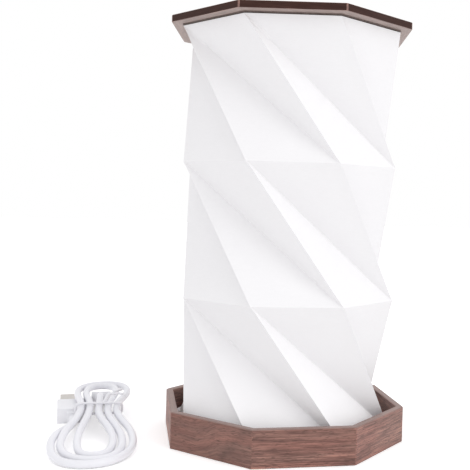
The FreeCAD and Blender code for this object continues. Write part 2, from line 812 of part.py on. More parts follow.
def make_cable_hank():
    pieces = hank_path()
    path = Part.Wire([piece.toShape() for piece in pieces])
    (large, large_way), _ = plug_seats()
    solid = tube(path, large, large_way, size("cable_diameter") / 2, CABLE_SIDES)
    feature = doc.addObject("Part::Feature", "cable_hank")
    feature.Shape = solid
    place(feature, "hank_x", "hank_y")
    print_hank_facts(pieces, solid)


def make_large_plug():
    """Moulded grip with a neck, an open metal shell and the tongue inside it. +Y is its front."""
    seat_x, seat_y = "hank_x + large_x", "hank_y + large_y"
    grip = add_body("large_plug_grip")
    neck = add_sketch(grip, "neck", "XZ_Plane")
    circle(neck, "large_neck / 2")
    pad(neck, "large_neck_length + 1", up=False)
    block = add_sketch(grip, "block", "XZ_Plane", level="-large_neck_length")
    centred_box(block, "large_width", "large_thickness")
    last = pad(block, "large_length", up=False)
    neck_end = size("large_neck_length") + 0.01

    def long_corner(edge):
        return runs_along_y(edge) and edge.BoundBox.YMax > neck_end and edge.BoundBox.YLength > 1

    dress("Fillet", last, edges_where(last, long_corner), "large_round")
    shell = add_body("large_plug_shell")
    outline = add_sketch(shell, "outline", "XZ_Plane", level="-large_neck_length - large_length")
    centred_box(outline, "large_shell_width", "large_shell_height")
    inside_width, inside_height = "large_shell_width - 2 * shell_wall", "large_shell_height - 2 * shell_wall"
    centred_box(outline, inside_width, inside_height)
    pad(outline, "large_shell_length", up=False)
    tongue = add_body("large_plug_tongue")
    rest = add_sketch(tongue, "outline", "XZ_Plane", level="-large_neck_length - large_length")
    top = "large_shell_height / 2 - shell_wall"
    upright_box(rest, inside_width, top + " - large_tongue_height", top)
    pad(rest, "large_shell_length - large_tongue_setback", up=False)
    for piece in (grip, shell, tongue):
        place(piece, seat_x, seat_y, "large_thickness / 2", turn="large_tilt")


def small_shell_outline(sketch, margin):
    """Flat-topped outline with bevelled lower corners, drawn in by the margin."""
    corners = [(-2, -1), (2, -1), (3, 0), (3, 1), (-3, 1), (-3, 0)]
    first = add_lines(sketch, [Vector(x, z, 0) for x, z in corners])
    for start, end in ((first, first), (first + 3, first + 3)):
        sketch.addConstraint(Sketcher.Constraint("Symmetric", start, 1, end, 2, -2))
    sketch.addConstraint(Sketcher.Constraint("Vertical", first + 2))
    sketch.addConstraint(Sketcher.Constraint("Vertical", first + 4))
    sketch.addConstraint(Sketcher.Constraint("Equal", first + 2, first + 4))
    bevel = "small_shell_bevel"
    dimension(sketch, "small_shell_width - 2 * " + margin, "DistanceX", first + 3, 2, first + 3, 1, 6)
    dimension(sketch, bevel, "DistanceX", first + 1, 1, first + 1, 2, 1)
    dimension(sketch, bevel, "DistanceY", first + 1, 1, first + 1, 2, 1)
    dimension(sketch, "small_shell_height / 2 - " + margin, "DistanceY", -1, 1, first + 3, 1, 1)
    dimension(sketch, "small_shell_height / 2 - " + margin, "DistanceY", first, 1, -1, 1, 1)


def make_small_plug():
    """Moulded grip with a flat neck and bevelled front corners, and an open metal shell."""
    grip = add_body("small_plug_grip")
    neck = add_sketch(grip, "neck", "XZ_Plane")
    centred_box(neck, "small_neck_width", "small_neck_height")
    pad(neck, "small_neck_length + 1", up=False)
    block = add_sketch(grip, "block", "XZ_Plane", level="-small_neck_length")
    centred_box(block, "small_width", "small_thickness")
    last = pad(block, "small_length", up=False)
    front = size("small_neck_length") + size("small_length")
    side = size("small_width") / 2

    def front_corner(edge):
        box = edge.BoundBox
        return box.ZLength > 1 and box.YMin > front - 1e-4 and abs(abs(box.Center.x) - side) < 1e-4

    bevelled = dress("Chamfer", last, edges_where(last, front_corner), "small_bevel")
    neck_end = size("small_neck_length") + 0.01

    def long_corner(edge):
        return runs_along_y(edge) and edge.BoundBox.YMax > neck_end and edge.BoundBox.YLength > 1

    dress("Fillet", bevelled, edges_where(bevelled, long_corner), "small_round")
    shell = add_body("small_plug_shell")
    outline = add_sketch(shell, "outline", "XZ_Plane", level="-small_neck_length - small_length")
    small_shell_outline(outline, "0")
    small_shell_outline(outline, "shell_wall")
    pad(outline, "small_shell_length", up=False)
    _, (seat, way) = plug_seats()
    spot = seat + Vector(size("hank_x"), size("hank_y"), 0)
    for piece in (grip, shell):
        piece.Placement = Placement(spot, Rotation(Vector(0, 1, 0), way))


def straight_tube(start, end, radius):
    run = Part.Wire(Part.LineSegment(start, end).toShape())
    return tube(run, start, (end - start).normalize(), radius, THIN_SIDES)


def make_twist_tie():
    """A covered wire round the five upper strands at the waist, twisted into a knot with two tails."""
    step, cable, wire = size("strand_step"), size("cable_diameter"), size("tie_diameter")
    reach = cable / 2 + size("tie_gap") + wire / 2
    left = strand_station(8)[0].x - reach
    right = strand_station(4)[0].x + reach
    middle = strand_station(4)[0].z
    low, high = middle - reach, middle + reach
    knee = size("tie_corner")
    corners = [Vector(left, 0, low), Vector(right, 0, low), Vector(right, 0, high), Vector(left, 0, high)]
    path = []
    for k, corner in enumerate(corners):
        before, after = corners[k - 1], corners[(k + 1) % 4]
        start = corner + (before - corner).normalize() * knee
        end = corner + (after - corner).normalize() * knee
        path.append(arc_between(start, corner, end).toShape())
        next_start = after + (corner - after).normalize() * knee
        path.append(Part.LineSegment(end, next_start).toShape())
    band_path = Part.Wire(path)
    start = path[0].Vertexes[0].Point
    band = tube(band_path, start, path[0].tangentAt(path[0].FirstParameter), wire / 2, THIN_SIDES)
    foot = Vector(right - 2 * step, 0, high)
    tip = foot + KNOT_WAY * size("knot_length")
    knot = straight_tube(foot, tip, size("knot_diameter") / 2)
    start = tip - KNOT_WAY * wire
    tails = [straight_tube(start, start + way * size("tail_length"), wire / 2) for way in TAIL_WAYS]
    feature = doc.addObject("Part::Feature", "twist_tie")
    feature.Shape = band.fuse([knot] + tails).removeSplitter()
    place(feature, "hank_x", "hank_y")


# ---------------------------------------------------------------- build and write

NODES = (
    ["tray_stave_" + name for name in SIDE_NAMES]
    + ["tray_floor", "base_pad", "paper_ring", "module_cup", "battery_cell", "light_board"]
    + ["light_chips", "lid_sensor", "diffuser_cap", "cup_screws", "board_screws"]
    + ["charger_board", "charging_socket", "socket_tongue", "charging_leads", "paper_shade"]
    + ["lid_panel", "lid_magnet", "paper_plate"]
    + ["lid_strip_" + name for name in SIDE_NAMES]
    + ["cable_hank", "large_plug_grip", "large_plug_shell", "large_plug_tongue"]
    + ["small_plug_grip", "small_plug_shell", "twist_tie"]
)

make_staves()
make_floor()
make_base_pad()
make_paper_ring()
make_module_cup()
make_battery_cell()
make_light_board()
make_light_chips()
make_lid_sensor()
make_diffuser()
make_screws("cup_screws", "pad_thickness + head_height", "lower_screw", head_up=False)
make_screws("board_screws", "board_top", "upper_screw", head_up=True)
make_charger_board()
make_charging_socket()
make_charging_leads()
make_paper_shade()
make_lid()
make_cable_hank()
make_large_plug()
make_small_plug()
make_twist_tie()
doc.recompute()

for item in doc.Objects:
    if "Invalid" in item.State or "Error" in item.State:
        raise RuntimeError("%s did not build: %s" % (item.Name, item.State))
for node in NODES:
    piece = doc.getObjectsByLabel(node)[0]
    if piece.Shape.isNull() or not piece.Shape.isValid() or piece.Shape.Volume <= 0:
        raise RuntimeError("%s has no valid solid" % node)
    piece.Shape.exportStep("parts/%s.step" % node)
print("%d nodes written" % len(NODES))
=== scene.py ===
import math

import bmesh
import bpy
from mathutils import Matrix, Vector


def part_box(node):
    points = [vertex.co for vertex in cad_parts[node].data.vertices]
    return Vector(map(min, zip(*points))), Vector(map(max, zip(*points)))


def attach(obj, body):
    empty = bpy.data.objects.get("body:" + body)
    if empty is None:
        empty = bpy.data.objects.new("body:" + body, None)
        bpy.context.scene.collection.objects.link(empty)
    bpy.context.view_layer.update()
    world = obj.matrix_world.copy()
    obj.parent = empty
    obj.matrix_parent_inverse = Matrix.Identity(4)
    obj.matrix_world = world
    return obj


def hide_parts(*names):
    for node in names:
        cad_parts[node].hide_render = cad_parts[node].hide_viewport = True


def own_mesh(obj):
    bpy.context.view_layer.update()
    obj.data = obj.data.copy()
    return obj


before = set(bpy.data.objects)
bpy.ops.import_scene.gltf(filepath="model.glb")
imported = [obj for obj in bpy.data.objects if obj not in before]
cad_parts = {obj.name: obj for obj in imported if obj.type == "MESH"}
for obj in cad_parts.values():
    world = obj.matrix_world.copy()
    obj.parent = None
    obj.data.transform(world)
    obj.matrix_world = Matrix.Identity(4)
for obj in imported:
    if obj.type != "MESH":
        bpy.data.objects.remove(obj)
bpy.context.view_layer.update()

bl_info = {
    "name": "Folding paper table lamp",
    "version": (1, 0, 0),
    "blender": (4, 5, 0),
    "location": "3D View > Sidebar > Paper lamp",
    "description": "Dresses the folding lamp: walnut, folded paper, tied cable and plugs",
    "category": "Object",
}

SHADE_LOW, SHADE_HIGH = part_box("paper_shade")

SIDES = 8
SIDE_NAMES = (
    "front", "front_right", "right", "back_right", "back", "back_left", "left", "front_left")

# The lid stands this far off the tray's octagon while the lamp is open.
LID_TURN = math.radians(-10.7)

# Lengths that differ by less than this count as equal.
CLOSE = 0.00001


# -------- settings


class CameraSettings(bpy.types.PropertyGroup):
    """The camera that sees the lamp as the photograph does."""

    place: bpy.props.FloatVectorProperty(
        name="Place", description="Where the camera stands",
        subtype="TRANSLATION", unit="LENGTH", default=(-0.0812, -0.4211, 0.1229))
    aim: bpy.props.FloatProperty(
        name="Aim", description="How far it turns from +Y towards +X",
        subtype="ANGLE", default=0.2004)
    tip: bpy.props.FloatProperty(
        name="Tip", description="How far it looks down", subtype="ANGLE", default=0.0317)
    roll: bpy.props.FloatProperty(
        name="Roll", description="How far the picture leans clockwise",
        subtype="ANGLE", default=0.029)
    lens: bpy.props.FloatProperty(
        name="Lens", description="Focal length for a 36 mm sensor", default=61.65)
    shift: bpy.props.FloatVectorProperty(
        name="Shift", description="Shift of the frame, in frame widths",
        size=2, default=(-0.1262, -0.0147))


class StageSettings(bpy.types.PropertyGroup):
    """Floor, surroundings and lamps."""

    floor_colour: bpy.props.FloatVectorProperty(
        name="Floor", description="Colour of the plain floor",
        subtype="COLOR", size=3, default=(0.95, 0.945, 0.945))
    glow: bpy.props.FloatProperty(
        name="Glow", description="Light of its own with which the floor is seen", default=0.34)
    sky_colour: bpy.props.FloatVectorProperty(
        name="Sky colour", description="Colour of the even light all round",
        subtype="COLOR", size=3, default=(0.99, 0.987, 0.996))
    sky: bpy.props.FloatProperty(
        name="Sky", description="Strength of the even light all round", default=0.955)
    key: bpy.props.FloatProperty(
        name="Key", description="Power of the large soft light at the front right",
        subtype="POWER", default=2.85)
    fill: bpy.props.FloatProperty(
        name="Fill", description="Power of the soft light at the left",
        subtype="POWER", default=0.12)


class PaperSettings(bpy.types.PropertyGroup):
    """The folded shade."""

    radius: bpy.props.FloatProperty(
        name="Radius", description="From the axis to the corners of a fold line",
        unit="LENGTH", default=0.0573)
    top_radius: bpy.props.FloatProperty(
        name="Top radius", description="The same at the plate", unit="LENGTH", default=0.0585)
    sheet: bpy.props.FloatProperty(
        name="Sheet", description="Thickness of the paper", unit="LENGTH", default=0.0003)
    bow: bpy.props.FloatProperty(
        name="Bow", description="How far the facets bow between their folds",
        unit="LENGTH", default=0.0008)
    ease: bpy.props.FloatProperty(
        name="Ease", description="How far below the plate's corners the folds run out",
        unit="LENGTH", default=0.015)
    colour: bpy.props.FloatVectorProperty(
        name="Colour", description="Paper white",
        subtype="COLOR", size=3, default=(0.902, 0.897, 0.907))


class WalnutSettings(bpy.types.PropertyGroup):
    """The oiled walnut of tray and lid."""

    light: bpy.props.FloatVectorProperty(
        name="Light wood", description="Between the grain lines",
        subtype="COLOR", size=3, default=(0.287, 0.149, 0.117))
    dark: bpy.props.FloatVectorProperty(
        name="Dark wood", description="In the grain lines",
        subtype="COLOR", size=3, default=(0.130, 0.059, 0.046))
    # Painted sheen: the lighter, greyer level faces stand for the pale room reflected in them.
    top: bpy.props.FloatVectorProperty(
        name="Cut faces", description="Greyer tone of the tray's level faces",
        subtype="COLOR", size=3, default=(0.30, 0.225, 0.205))
    edge: bpy.props.FloatVectorProperty(
        name="Lid edge", description="Stained edge of the lid",
        subtype="COLOR", size=3, default=(0.030, 0.011, 0.008))
    # Painted highlight: the pale mitres stand for the glint on the lid's eased corners.
    mitre_glint: bpy.props.FloatVectorProperty(
        name="Lid mitres", description="Rubbed corners of the lid's edge",
        subtype="COLOR", size=3, default=(0.30, 0.22, 0.20))
    # Painted light: the pale underside stands for light thrown up from the floor and the paper.
    underside_light: bpy.props.FloatVectorProperty(
        name="Underside", description="Pale underside of the lid",
        subtype="COLOR", size=3, default=(0.41, 0.335, 0.31))
    climb: bpy.props.FloatProperty(
        name="Climb", description="How far the grain climbs past the front left stave's knot",
        unit="LENGTH", default=0.006)


class CableSettings(bpy.types.PropertyGroup):
    """The charging cable, tied in a hank beside the lamp."""

    place: bpy.props.FloatVectorProperty(
        name="Place", description="Middle of the hank's waist, on the floor",
        subtype="TRANSLATION", unit="LENGTH", default=(-0.097, 0.017, 0.0))
    diameter: bpy.props.FloatProperty(
        name="Diameter", description="Of the cable's sheath", unit="LENGTH", default=0.0038)
    length: bpy.props.FloatProperty(
        name="Length", description="Of the whole cable between its plugs",
        unit="LENGTH", default=0.697)
    step: bpy.props.FloatProperty(
        name="Strand step", description="How much each turn lies inside the last",
        unit="LENGTH", default=0.00465)
    lift: bpy.props.FloatProperty(
        name="Lift", description="Height of the strands that cross the large plug",
        unit="LENGTH", default=0.0102)
    colour: bpy.props.FloatVectorProperty(
        name="Colour", description="Of the sheath",
        subtype="COLOR", size=3, default=(0.86, 0.86, 0.90))


# -------- helpers for meshes


def deselect():
    """Leaves edit mode and selects nothing."""
    if bpy.context.object and bpy.context.object.mode != "OBJECT":
        bpy.ops.object.mode_set(mode="OBJECT")
    bpy.ops.object.select_all(action="DESELECT")


def only(piece):
    """Selects this piece alone and makes it active."""
    deselect()
    piece.select_set(True)
    bpy.context.view_layer.objects.active = piece


def named(name):
    """Names the piece that was just added."""
    piece = bpy.context.object
    piece.name = name
    piece.data.name = name
    return piece


def settle(piece):
    """Puts the piece's place and turn into its mesh."""
    only(piece)
    bpy.ops.object.transform_apply(location=True, rotation=True, scale=True)


def pick(piece, kind, wanted):
    """In edit mode, selects the edges or faces that pass the test, and nothing else."""
    bpy.ops.mesh.select_mode(type=kind)
    bpy.ops.mesh.select_all(action="DESELECT")
    sheet = bmesh.from_edit_mesh(piece.data)
    for part in {"EDGE": sheet.edges, "FACE": sheet.faces}[kind]:
        if wanted(part):
            part.select_set(True)
    sheet.select_flush_mode()
    bmesh.update_edit_mesh(piece.data)


def extrude(x, y, z):
    """In edit mode, extrudes what is selected by this much."""
    bpy.ops.mesh.extrude_region_move(TRANSFORM_OT_translate={"value": (x, y, z)})


def finish_with(piece, kind, **values):
    """Adds a modifier and applies it."""
    only(piece)
    modifier = piece.modifiers.new(kind.title(), kind)
    for name, value in values.items():
        setattr(modifier, name, value)
    bpy.ops.object.modifier_apply(modifier=modifier.name)


def smooth_below(piece, degrees):
    """Shades smooth over the edges that turn by less than this."""
    only(piece)
    bpy.ops.object.shade_smooth_by_angle(angle=math.radians(degrees))


# -------- helpers for materials


def tinted(colour, share):
    """A colour made lighter or darker, up to full white."""
    return tuple(min(1.0, share * part) for part in colour)


class Nodes:
    """A node tree, with its nodes added and joined by name."""

    def __init__(self, tree):
        self.tree = tree

    def add(self, kind, *joins, **values):
        """A node, with its settings by name and its inputs as (socket, value or output)."""
        node = self.tree.nodes.new(kind)
        for name, value in values.items():
            setattr(node, name, value)
        for socket, source in joins:
            if isinstance(source, bpy.types.NodeSocket):
                self.tree.links.new(source, node.inputs[socket])
            else:
                node.inputs[socket].default_value = source
        return node

    def maths(self, how, first, second=0.0, clamp=False):
        node = self.add("ShaderNodeMath", (0, first), (1, second), operation=how, use_clamp=clamp)
        return node.outputs[0]

    def times(self, source, share):
        return self.maths("MULTIPLY", source, share)

    def total(self, *parts):
        """The sum of (source, share) parts."""
        whole = None
        for source, share in parts:
            part = self.times(source, share)
            whole = self.maths("ADD", whole, part) if whole else part
        return whole

    def seen_directly(self):
        """1 for rays from the camera, off gloss or through clear material, which light nothing."""
        path = self.add("ShaderNodeLightPath").outputs
        views = self.maths("MAXIMUM", path["Is Camera Ray"], path["Is Glossy Ray"])
        return self.maths("MAXIMUM", views, path["Is Transmission Ray"])

    def show(self, end, share, first, second):
        """Ends the tree in a mix of two shaders."""
        mix = self.add("ShaderNodeMixShader", (0, share), (1, first), (2, second))
        self.tree.links.new(mix.outputs[0], self.tree.nodes[end].inputs["Surface"])


class Recipe(Nodes):
    """A new material: one shader, and the nodes that colour, roughen and emboss it."""

    def __init__(self, name, colour, roughness, **sockets):
        self.material = bpy.data.materials.new(name)
        self.material.use_nodes = True
        self.material.diffuse_color = (*colour, 1.0)
        super().__init__(self.material.node_tree)
        self.shader = self.tree.nodes["Principled BSDF"]
        self.shader.inputs["Base Color"].default_value = (*colour, 1.0)
        self.shader.inputs["Roughness"].default_value = roughness
        for socket, value in sockets.items():
            self.shader.inputs[socket.replace("_", " ")].default_value = value
        self.place = self.add("ShaderNodeTexCoord").outputs["Object"]

    def vector(self, how, first, second, output="Vector"):
        node = self.add("ShaderNodeVectorMath", (0, first), (1, second), operation=how)
        return node.outputs[output]

    def axis(self, source, letter):
        return self.add("ShaderNodeSeparateXYZ", (0, source)).outputs[letter]

    def turned(self, angle=0.0, scale=(1, 1, 1), centre=(0, 0, 0)):
        """Object coordinates turned about Z, so that a pattern can run along a piece."""
        spun = self.add(
            "ShaderNodeVectorRotate", ("Vector", self.vector("SUBTRACT", self.place, centre)),
            ("Angle", -angle), rotation_type="Z_AXIS")
        return self.vector("MULTIPLY", spun.outputs[0], scale)

    def noise(self, where, scale, detail=4.0, rough=0.5, twist=0.0):
        node = self.add(
            "ShaderNodeTexNoise", ("Vector", where), ("Scale", scale), ("Detail", detail),
            ("Roughness", rough), ("Distortion", twist))
        return node.outputs["Fac"]

    def ramp(self, source, *stops):
        """A ramp of (place, grey or colour) stops."""
        node = self.add("ShaderNodeValToRGB", ("Fac", source))
        band = node.color_ramp
        while len(band.elements) < len(stops):
            band.elements.new(0.5)
        for element, (spot, tone) in zip(band.elements, stops):
            element.position = spot
            element.color = (tone, tone, tone, 1) if isinstance(tone, float) else (*tone, 1)
        return node.outputs["Color"]

    def blend(self, share, first, second, how="MIX"):
        """A mix of two colours, which are the node's sockets 6 and 7 and its output 2."""
        node = self.add("ShaderNodeMix", ("Factor", share), data_type="RGBA", blend_type=how)
        for socket, source in ((6, first), (7, second)):
            if isinstance(source, bpy.types.NodeSocket):
                self.tree.links.new(source, node.inputs[socket])
            else:
                node.inputs[socket].default_value = (*source, 1.0)
        return node.outputs[2]

    def upward(self):
        """How far the surface faces up: 1 on level tops, -1 on level undersides."""
        return self.axis(self.add("ShaderNodeNewGeometry").outputs["Normal"], "Z")

    def outward(self, turn):
        """How far it faces away from the axis on a side: 1 on outer faces, -1 on inner ones."""
        normal = self.add("ShaderNodeTexCoord").outputs["Normal"]
        way = (math.sin(turn), -math.cos(turn), 0.0)
        return self.vector("DOT_PRODUCT", normal, way, "Value")

    def tone(self):
        """The colour that the shader has so far."""
        return self.shader.inputs["Base Color"].links[0].from_socket

    def colour(self, source):
        self.tree.links.new(source, self.shader.inputs["Base Color"])

    def rough(self, source, low, high):
        spread = self.add(
            "ShaderNodeMapRange", ("Value", source), ("To Min", low), ("To Max", high))
        self.tree.links.new(spread.outputs[0], self.shader.inputs["Roughness"])

    def bump(self, source, strength, distance):
        node = self.add(
            "ShaderNodeBump", ("Height", source), ("Strength", strength), ("Distance", distance))
        self.tree.links.new(node.outputs[0], self.shader.inputs["Normal"])

    def wear(self, piece):
        """Gives the finished material to a piece or, by its name, to a CAD node."""
        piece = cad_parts[piece] if isinstance(piece, str) else piece
        piece.data.materials.clear()
        piece.data.materials.append(self.material)


def moulded(name, colour, roughness, grain=2400.0):
    """Moulded plastic: a fine pebbled skin with slight variation of tone."""
    recipe = Recipe(name, colour, roughness)
    cloud = recipe.noise(recipe.place, 60.0, 3.0)
    skin = recipe.noise(recipe.place, grain, 2.0)
    recipe.colour(recipe.blend(cloud, tinted(colour, 0.96), tinted(colour, 1.03)))
    recipe.rough(skin, roughness - 0.06, roughness + 0.08)
    recipe.bump(skin, 0.3, 0.00003)
    return recipe


def brushed(name, colour, drawn):
    """Plated metal with fine lines. drawn is how many noise cells a metre has along each axis."""
    recipe = Recipe(name, colour, 0.3, Metallic=1.0)
    lines = recipe.noise(recipe.turned(scale=drawn), 1.0, 3.0)
    cloud = recipe.noise(recipe.place, 220.0, 3.0)
    recipe.colour(recipe.blend(cloud, tinted(colour, 0.85), colour))
    recipe.rough(lines, 0.22, 0.42)
    recipe.bump(lines, 0.15, 0.00003)
    return recipe


def speckled(name, colour, roughness, grain, dark, light, strength, distance):
    """A dull surface mottled between two tones: fibres, pores or tracks."""
    recipe = Recipe(name, colour, roughness)
    specks = recipe.noise(recipe.place, grain, 4.0, 0.6)
    recipe.colour(recipe.ramp(specks, (0.35, dark), (0.65, light)))
    recipe.bump(specks, strength, distance)
    return recipe


# -------- camera and stage


class LAMP_OT_add_camera(bpy.types.Operator):
    """Add the camera at the photograph's viewing angle"""

    bl_idname = "lamp.add_camera"
    bl_label = "Camera"

    def execute(self, context):
        wish = context.scene.lamp_camera
        ahead = Vector((math.sin(wish.aim), math.cos(wish.aim), 0))
        right = Vector((math.cos(wish.aim), -math.sin(wish.aim), 0))
        look = ahead * math.cos(wish.tip) - Vector((0, 0, math.sin(wish.tip)))
        up = ahead * math.sin(wish.tip) + Vector((0, 0, math.cos(wish.tip)))
        across = right * math.cos(wish.roll) + up * math.sin(wish.roll)
        upward = up * math.cos(wish.roll) - right * math.sin(wish.roll)
        deselect()
        bpy.ops.object.camera_add(location=wish.place)
        camera = named("photo_camera")
        turn = Matrix((across, upward, -look)).transposed()
        camera.rotation_euler = turn.to_euler()
        camera.data.lens = wish.lens
        camera.data.sensor_width = 36.0
        camera.data.shift_x, camera.data.shift_y = wish.shift
        camera.data.clip_start = 0.01
        context.scene.camera = camera
        return {"FINISHED"}


# Where the soft lights stand, how wide they are, and the middle of the lamp, which they face.
KEY_SPOT = (0.75, -0.75, 0.85)
FILL_SPOT = (-0.9, -0.6, 0.6)
LIGHT_WIDTH = 0.9
LAMP_MIDDLE = Vector((0, 0, 0.1))

WHITE = (1, 1, 1, 1)


class LAMP_OT_light_stage(bpy.types.Operator):
    """Add the plain floor, the pale surroundings and the soft lamps"""

    bl_idname = "lamp.light_stage"
    bl_label = "Stage"

    def execute(self, context):
        wish = context.scene.lamp_stage
        context.scene.view_settings.view_transform = "Standard"
        deselect()
        bpy.ops.mesh.primitive_grid_add(
            x_subdivisions=8, y_subdivisions=8, size=8.0, location=(0, 0, 0))
        floor = named("floor")
        recipe = Recipe("pale_floor", wish.floor_colour, 0.9)
        plain = recipe.shader.outputs[0]
        glow = recipe.add("ShaderNodeEmission", ("Color", WHITE), ("Strength", wish.glow))
        bright = recipe.add("ShaderNodeAddShader", (0, plain), (1, glow.outputs[0]))
        recipe.show("Material Output", recipe.seen_directly(), plain, bright.outputs[0])
        recipe.wear(floor)

        world = bpy.data.worlds.new("pale_room")
        context.scene.world = world
        world.use_nodes = True
        room = Nodes(world.node_tree)
        even = room.tree.nodes["Background"]
        even.inputs["Color"].default_value = (*wish.sky_colour, 1.0)
        even.inputs["Strength"].default_value = wish.sky
        white = room.add("ShaderNodeBackground", ("Color", WHITE), ("Strength", 1.0))
        room.show("World Output", room.seen_directly(), even.outputs[0], white.outputs[0])

        for name, spot, power in (
                ("key_light", KEY_SPOT, wish.key), ("fill_light", FILL_SPOT, wish.fill)):
            deselect()
            bpy.ops.object.light_add(type="AREA", location=spot)
            light = named(name)
            light.data.energy = power
            light.data.shape = "DISK"
            light.data.size = LIGHT_WIDTH
            aim = LAMP_MIDDLE - Vector(spot)
            light.rotation_euler = aim.to_track_quat("-Z", "Y").to_euler()
        return {"FINISHED"}


# -------- the cable's route

# The hank's outermost turn, from the middle of its waist: half its width at the waist and at the
# wide parts of both loops, how far along it those parts are, and its two ends.
WAIST, LOWER, UPPER = 0.0128, 0.0201, 0.0165
LOWER_AT, UPPER_AT = -0.044, 0.040
FOOT, HEAD = -0.06825, 0.05955

# The strands rise from just above the floor, at the foot, to the large plug's back end.
FLOOR_GAP, PLUG_AT = 0.00007, 0.005

# Where the small plug's back end is, along the hank.
SMALL_PLUG_AT = 0.0255

# The cable ends after this many eighths of a turn.
LAST_STATION = 20

# How far (across, along) the hand-tied cable strays from a neat spiral at an eighth of a turn, set
# after the photograph.
SLACK = {
    2: (-0.0020, 0.0), 3: (0.0008, 0.0015), 5: (0.0022, 0.0), 6: (0.0034, 0.0),
    7: (0.0004, 0.0), 9: (-0.0002, 0.0010), 10: (0.0012, 0.0006), 11: (0.0003, -0.0010),
    13: (0.0003, 0.0), 14: (0.0014, 0.0), 15: (0.0006, 0.0), 17: (0.0028, 0.0030),
    18: (0.0012, 0.0014), 19: (0.0004, 0.0010),
}

# Width, height and length of each plug's neck and grip.
SMALL_NECK, SMALL_GRIP = (0.0064, 0.0054, 0.0045), (0.0104, 0.0064, 0.0190)
LARGE_NECK, LARGE_GRIP = (0.0056, 0.0056, 0.0040), (0.0156, 0.0080, 0.0220)


def strand_height(along, low, lift):
    """Height of a strand's middle and its slope: on the floor at the foot, over the plug beyond."""
    share = min(1.0, max(0.0, (along - FOOT) / (PLUG_AT - FOOT)))
    slope = (lift - low) / (PLUG_AT - FOOT) * 6 * share * (1 - share)
    return low + (lift - low) * share * share * (3 - 2 * share), slope


def strand_station(cable, count):
    """Point and direction of the cable after that many eighths of a turn, spiralling in."""
    drawn = cable.step * count / 8
    waist, lower, upper = WAIST - drawn, LOWER - drawn, UPPER - drawn
    across, along, sideways, onward = (
        (-waist, 0, 0, -1),
        (-lower, LOWER_AT, 0, -1),
        (0, FOOT + drawn, 1, 0),
        (lower, LOWER_AT, 0, 1),
        (waist, 0, 0, 1),
        (upper, UPPER_AT, 0, 1),
        (0, HEAD - drawn, -1, 0),
        (-upper, UPPER_AT, 0, -1),
    )[count % 8]
    slack = SLACK.get(count, (0, 0))
    across, along = across + slack[0], along + slack[1]
    height, slope = strand_height(along, cable.diameter / 2 + FLOOR_GAP, cable.lift)
    return Vector((across, along, height)), Vector((sideways, onward, slope * onward)).normalized()


def turn_corners(start, end):
    """The two points where the cable's line turns between one station and the next."""
    (p, a), (q, b) = start, end
    gap, ways = q - p, a + b
    spread = 2 * (1 - a.dot(b))
    slide = gap.dot(ways)
    if spread < 1e-9:
        # Both go the same way.
        reach = gap.dot(gap) / (2 * slide)
    else:
        reach = (math.sqrt(slide * slide + spread * gap.dot(gap)) - slide) / spread
    return [p + a * reach, q - b * reach]


def plug_seats(cable):
    """Each plug's back end and the way that it points, from the middle of the hank.

    The large plug lies flat and leans a little. The small one droops from the height of its
    strand until the lower edge of its grip's front end is on the floor.
    """
    lean = math.radians(5.0)
    large = Vector((-WAIST, PLUG_AT, LARGE_GRIP[1] / 2))
    large_way = Vector((-math.sin(lean), math.cos(lean), 0))
    reach, drop = SMALL_NECK[2] + SMALL_GRIP[2], SMALL_GRIP[1] / 2
    droop = math.asin(cable.lift / math.hypot(reach, drop)) - math.atan2(drop, reach)
    inner = strand_station(cable, LAST_STATION)[0]
    small = Vector((inner.x, SMALL_PLUG_AT, cable.lift))
    small_way = Vector((0, math.cos(droop), -math.sin(droop)))
    return (large, large_way), (small, small_way)


def hank_route(cable):
    """The cable's route: out of the large plug, two and a half turns, and into the small plug."""
    (large, large_way), (small, small_way) = plug_seats(cable)
    leave = (large - large_way * cable.diameter, -large_way)
    arrive = (small - small_way * cable.diameter, small_way)
    turns = [strand_station(cable, k) for k in range(1, LAST_STATION + 1)]
    stations = [leave, *turns, arrive]
    route = [large, leave[0]]
    for start, end in zip(stations, stations[1:]):
        route += turn_corners(start, end)
    return [Vector(cable.place) + point for point in route + [arrive[0], small]]


def smooth_line(name, run, radius, sides):
    """A round cord along a run of points, as a curve object."""
    deselect()
    line = bpy.data.curves.new(name, "CURVE")
    line.dimensions = "3D"
    line.bevel_depth = radius
    line.bevel_resolution = sides
    line.use_fill_caps = True
    spline = line.splines.new("NURBS")
    spline.points.add(len(run) - 1)
    for point, spot in zip(spline.points, run):
        point.co = (*spot, 1.0)
    spline.order_u = 3
    spline.use_endpoint_u = True
    spline.resolution_u = 10
    piece = bpy.data.objects.new(name, line)
    bpy.context.scene.collection.objects.link(piece)
    return piece


# -------- cable, plugs and tie


class LAMP_OT_add_cable(bpy.types.Operator):
    """Add the charging cable: one smooth line through the hank's turns, from plug to plug"""

    bl_idname = "lamp.add_cable"
    bl_label = "Charging cable"

    def execute(self, context):
        cable = context.scene.lamp_cable
        route = hank_route(cable)
        sheath = smooth_line("charging_cable", route, cable.diameter / 2, 6)
        recipe = Recipe("cable_sheath", cable.colour, 0.34, Coat_Weight=0.15, Coat_Roughness=0.3)
        cloud = recipe.noise(recipe.place, 45.0, 3.0)
        skin = recipe.noise(recipe.place, 900.0, 3.0)
        recipe.colour(recipe.blend(cloud, tinted(cable.colour, 0.97), tinted(cable.colour, 1.03)))
        recipe.rough(skin, 0.30, 0.44)
        recipe.bump(skin, 0.2, 0.00003)
        recipe.wear(sheath)
        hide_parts("cable_hank")
        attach(sheath, "base")
        return {"FINISHED"}


# The ribbed neck: each groove is this share of a rib's width, and its walls are this long.
GROOVE, GROOVE_WALL = 0.86, 0.00005
RIBS = 2

# The step from a grip's back face to its neck.
SHOULDER = 0.0004

# Half the width and half the height of each plug's metal shell, their length and their wall.
SMALL_TIP, SMALL_TIP_LENGTH = (0.003425, 0.000925), 0.0065
LARGE_TIP, LARGE_TIP_LENGTH = (0.006, 0.00225), 0.0188
SMALL_TIP_SLANT = 0.0006
TIP_WALL = 0.0003


